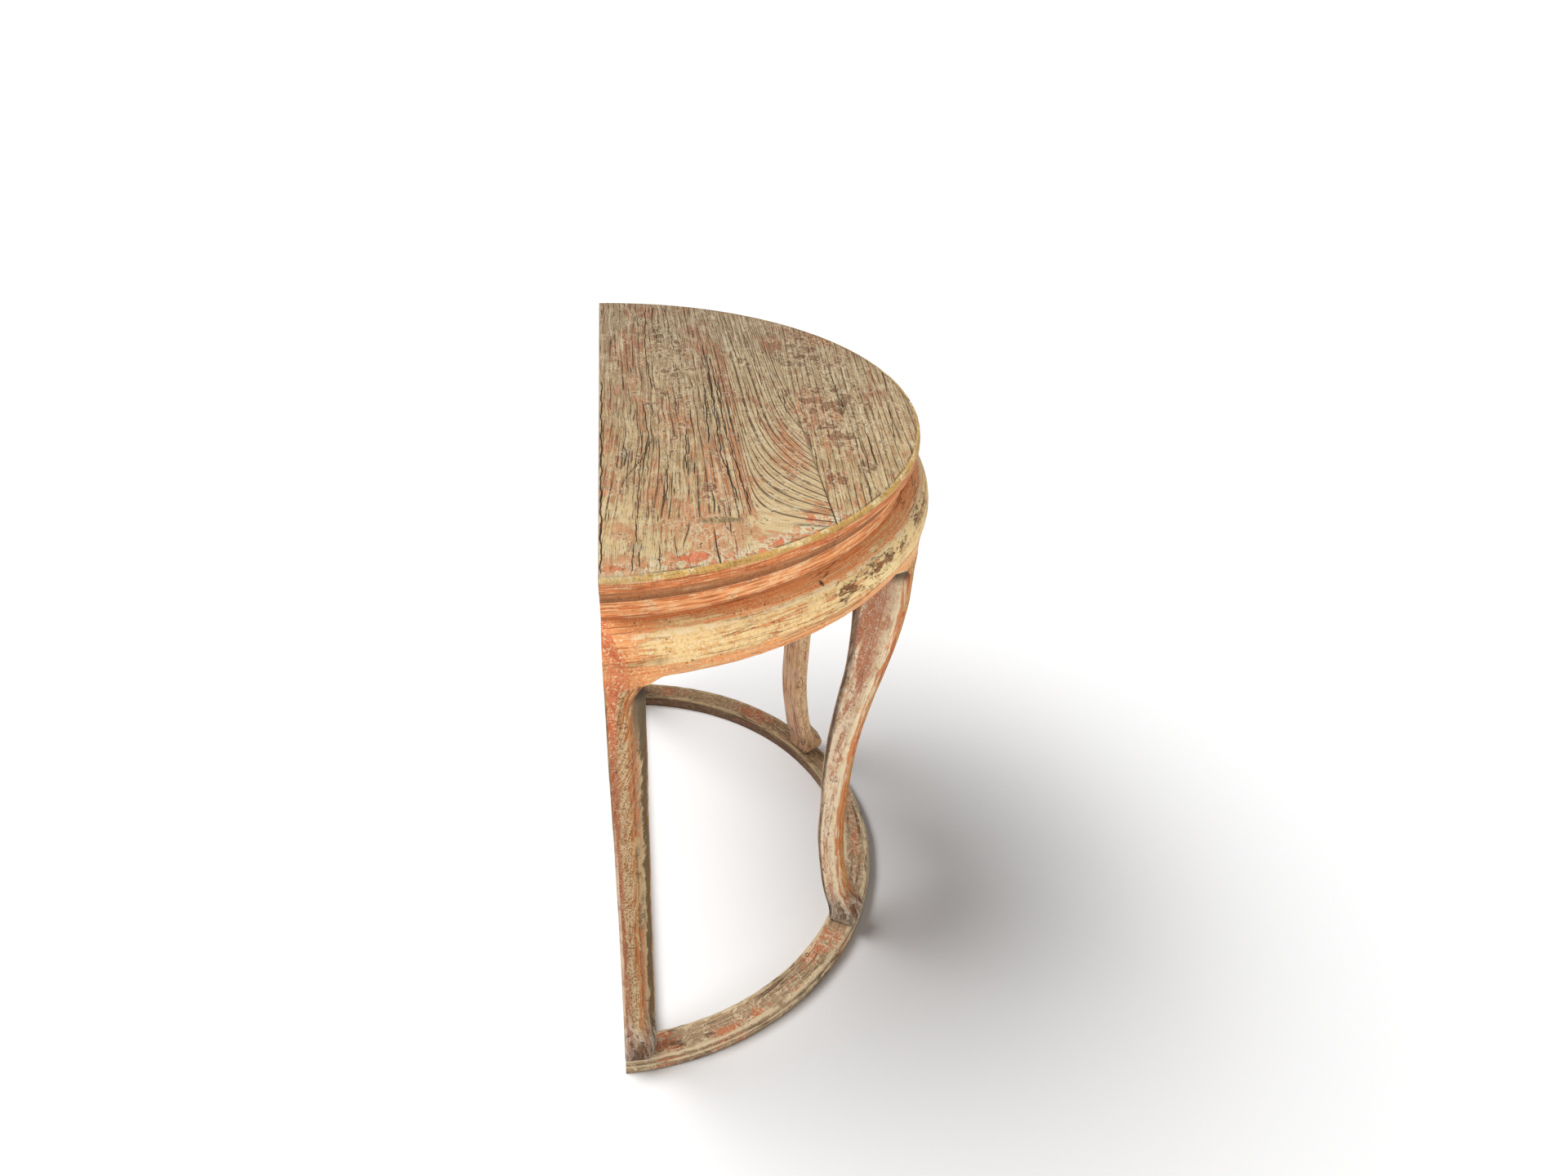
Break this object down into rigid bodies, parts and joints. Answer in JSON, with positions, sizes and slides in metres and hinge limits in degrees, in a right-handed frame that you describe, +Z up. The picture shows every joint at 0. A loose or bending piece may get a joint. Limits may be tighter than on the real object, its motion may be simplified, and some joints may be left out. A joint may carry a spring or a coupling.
{
  "type": "demilune table",
  "caption": "Half-round wall table of weathered painted elm, with a moulded top, recessed waist, swelling apron, S-curved legs and a half-ring floor stretcher.",
  "frame": {"origin": "middle of the footprint, on the floor", "axes": "+X along the straight back towards the table's right end seen from the front, -Y towards the bow, +Y towards the wall, +Z up"},
  "size_m": [0.947, 0.471, 0.86],
  "materials": {
    "top_wood": "bare weathered elm, grey-tan with worn red patches and open grain",
    "waist_paint": "worn orange-red paint with scratches",
    "apron_paint": "worn cream and ochre paint with dark scabs",
    "leg_paint": "dusty brick-red paint, rubbed to cream on the edges",
    "base_wood": "grey-brown driftwood with red paint left in patches",
    "bare_wood": "unfinished elm, darkened with age",
    "pin_wood": "split hardwood pins"
  },
  "bodies": {
    "root": {"apron_front": "apron_paint", "apron_left": "apron_paint", "apron_right": "apron_paint", "back_rail": "bare_wood", "base_back_rail": "base_wood", "base_front": "base_wood", "base_lap_pins": "pin_wood", "base_left": "base_wood", "base_right": "base_wood", "leg_back_left": "leg_paint", "leg_back_right": "leg_paint", "leg_front_left": "leg_paint", "leg_front_right": "leg_paint", "top_back_board": "top_wood", "top_batten_left": "bare_wood", "top_batten_right": "bare_wood", "top_front_board": "top_wood", "top_seam_tongue": "bare_wood", "waist_front": "waist_paint", "waist_left": "waist_paint", "waist_pins": "pin_wood", "waist_right": "waist_paint"}
  },
  "joints": []
}
